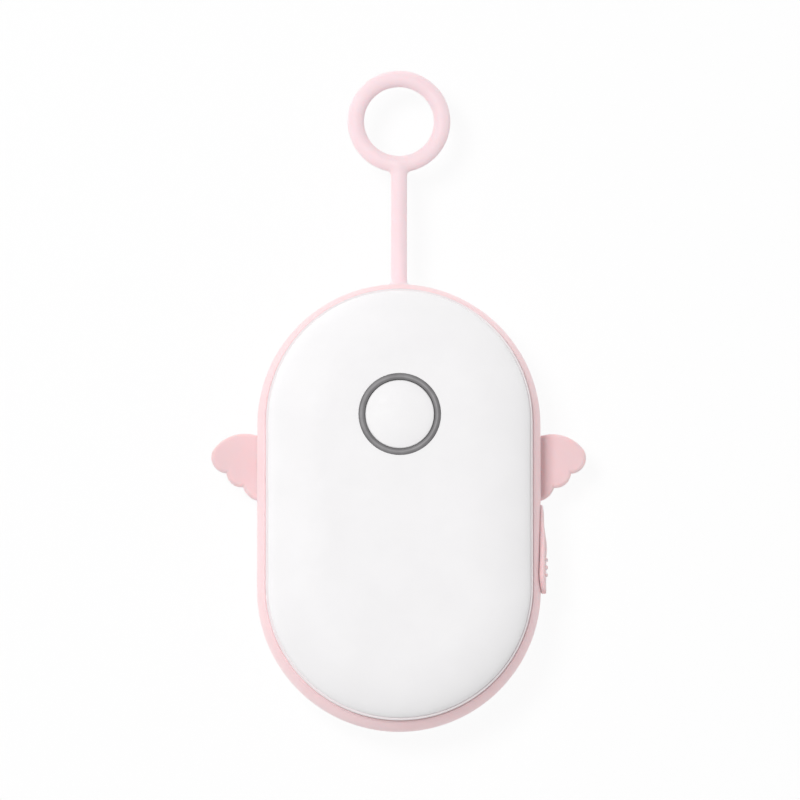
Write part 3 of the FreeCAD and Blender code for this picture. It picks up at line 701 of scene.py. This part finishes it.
# The flap takes the wings' darker pink as painted shade.
finish_soft(flap, wing_shaded_look)
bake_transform(flap)
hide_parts("port_flap")


# Floor, light and camera, in metres apart from the floor

floor_half = 1200.0
floor_z = -0.05  # just clear of the back cover's flat face
floor_grey = 0.93
floor_rough = 0.9
floor_clear = 0.92  # share of light that passes, so that the floor adds little more than the shadow

# Each light has a level, and a lean: how it grows along X, Y and Z
sky_level = 0.634
sky_lean = (0.17, -0.08, -0.3)
table_level = 1.64
table_lean = (-0.25, 0.4, 1.04)
horizon = (-0.1, 0.1)  # where the table's light gives way to the sky's

key_place = (-0.31, 0.194, 0.946)
key_target = (0, 0.015, 0.012)
key_size = 0.3
key_energy = 5.9

aim = Vector((0.00022, 0.02174, 0.0125))
elevation = math.radians(83.0)
sideways = math.radians(0.8)  # the camera stands a little to the left
distance = 1.5
view_half = 0.08055
sensor_width = 36.0


def seen_directly(tree):
    """1 for camera, glossy and transmission rays, which see the white backdrop, and 0 for all others."""
    rays = add(tree, "ShaderNodeLightPath")
    seen = rays.outputs["Is Camera Ray"]
    for name in ("Is Glossy Ray", "Is Transmission Ray"):
        either = add(tree, "ShaderNodeMath", operation="MAXIMUM")
        tree.links.new(seen, either.inputs[0])
        tree.links.new(rays.outputs[name], either.inputs[1])
        seen = either.outputs["Value"]
    return seen


def leaning_light(tree, way, level, lean):
    """A level of light that grows along a direction."""
    share = add(tree, "ShaderNodeVectorMath", operation="DOT_PRODUCT")
    tree.links.new(way, share.inputs[0])
    share.inputs[1].default_value = lean
    light = add(tree, "ShaderNodeMath", operation="ADD")
    tree.links.new(share.outputs["Value"], light.inputs[0])
    light.inputs[1].default_value = level
    return light.outputs["Value"]


def between(tree, value, span, low, high):
    """One socket's value below a span of another value, and a second one's above it."""
    node = add(tree, "ShaderNodeMapRange", From_Min=span[0], From_Max=span[1])
    tree.links.new(value, node.inputs["Value"])
    tree.links.new(low, node.inputs["To Min"])
    tree.links.new(high, node.inputs["To Max"])
    return node.outputs["Result"]


def studio_strength(tree):
    """White where it is seen, and for all other rays the light of a white table under a soft sky."""
    way = add(tree, "ShaderNodeTexCoord").outputs["Generated"]
    split = add(tree, "ShaderNodeSeparateXYZ")
    tree.links.new(way, split.inputs["Vector"])
    table = leaning_light(tree, way, table_level, table_lean)
    sky = leaning_light(tree, way, sky_level, sky_lean)
    light = between(tree, split.outputs["Z"], horizon, table, sky)
    strength = add(tree, "ShaderNodeMapRange", From_Min=0.0, From_Max=1.0, To_Max=1.0)
    tree.links.new(seen_directly(tree), strength.inputs["Value"])
    tree.links.new(light, strength.inputs["To Min"])
    return strength.outputs["Result"]


def floor_look():
    """A pale floor, mostly clear."""
    material, tree, shader = node_tree("floor_white")
    shader.inputs["Base Color"].default_value = (floor_grey, floor_grey, floor_grey, 1)
    shader.inputs["Roughness"].default_value = floor_rough
    clear = add(tree, "ShaderNodeBsdfTransparent")
    mixed = add(tree, "ShaderNodeMixShader", Fac=floor_clear)
    tree.links.new(shader.outputs["BSDF"], mixed.inputs[1])
    tree.links.new(clear.outputs["BSDF"], mixed.inputs[2])
    tree.links.new(mixed.outputs["Shader"], tree.nodes["Material Output"].inputs["Surface"])
    return material


scene = bpy.context.scene
scene.view_settings.view_transform = "Standard"
world = bpy.data.worlds.new("studio")
scene.world = world
world.use_nodes = True
background = world.node_tree.nodes["Background"]
background.inputs["Color"].default_value = (1, 1, 1, 1)
world.node_tree.links.new(studio_strength(world.node_tree), background.inputs["Strength"])

floor_corners = [(x * floor_half, y * floor_half, floor_z) for x, y in ((-1, -1), (1, -1), (1, 1), (-1, 1))]
floor = mesh_object("floor", floor_corners, [(0, 1, 2, 3)])
floor.data.materials.append(floor_look())

key = bpy.data.lights.new("key", "AREA")
key.shape = "DISK"
key.size = key_size
key.energy = key_energy
key_holder = bpy.data.objects.new("key", key)
key_holder.location = key_place
key_holder.rotation_euler = (Vector(key_target) - Vector(key_place)).to_track_quat("-Z", "Y").to_euler()
scene.collection.objects.link(key_holder)

camera = bpy.data.cameras.new("camera")
camera.sensor_width = sensor_width
camera.lens = sensor_width / 2 * distance / view_half
camera_holder = bpy.data.objects.new("camera", camera)
back = Vector((-math.sin(sideways), -math.cos(elevation), math.sin(elevation))).normalized()
right = Vector((0, 1, 0)).cross(back).normalized()
camera_holder.location = aim + back * distance
camera_holder.rotation_euler = Matrix((right, back.cross(right), back)).transposed().to_euler()
scene.collection.objects.link(camera_holder)
scene.camera = camera_holder
